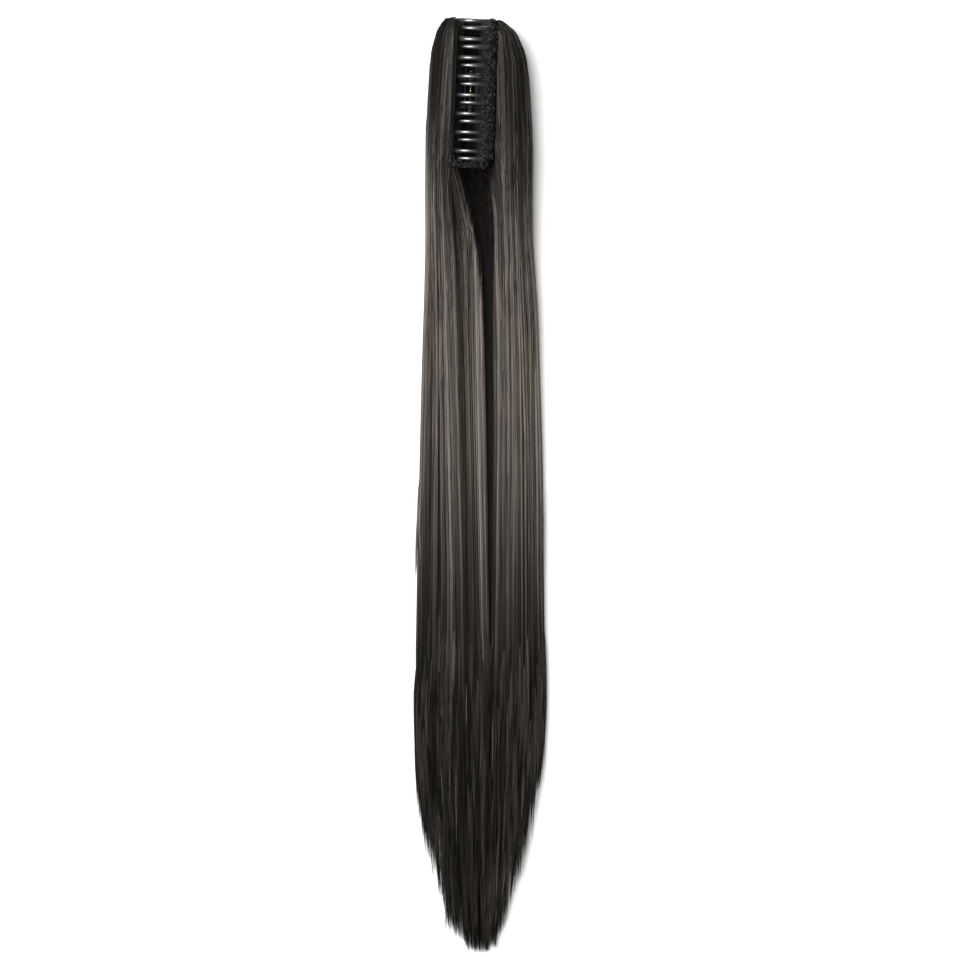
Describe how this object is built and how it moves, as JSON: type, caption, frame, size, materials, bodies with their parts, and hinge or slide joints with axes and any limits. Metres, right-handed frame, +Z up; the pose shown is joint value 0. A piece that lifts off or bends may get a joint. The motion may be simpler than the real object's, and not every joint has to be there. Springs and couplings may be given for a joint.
{
  "type": "ponytail hairpiece",
  "caption": "Long straight ponytail hairpiece on a spring claw clip, lying with the clip's interlocking teeth up and the tail tapering to a frayed tip.",
  "frame": {"origin": "on the surface that the hairpiece lies on, under the middle of its length and width", "axes": "+Y towards the top end with the clip, along the clip's hinge, -Y towards the tip of the tail; +Z up, out of the teeth; +X across, to the right seen from above with the clip at the top"},
  "size_m": [0.0928, 0.6072, 0.0517],
  "materials": {
    "clip": "polished black injection-moulded plastic",
    "metal": "dull brass-coloured spring wire and pin",
    "net": "black knitted net with a crocheted edge",
    "hair": "off-black straight synthetic hair with a soft sheen"
  },
  "bodies": {
    "root": {"claw_left": "clip", "hinge_pin": "metal", "spring": "metal", "net_left": "net", "net_hem": "net", "hair_left": "hair", "hair_right_tail": "hair"},
    "right_jaw": {"claw_right": "clip", "net_right": "net", "hair_right_top": "hair"}
  },
  "joints": [
    {"name": "claw_hinge", "type": "hinge", "parent": "root", "child": "right_jaw", "pos_m": [-0.01841, 0.25594, 0.02163], "axis": [0, 1, 0], "range_deg": [0, 40], "stiffness_Nm_per_rad": 0.15, "springref_deg": -57.3, "deforming": ["spring"]}
  ]
}
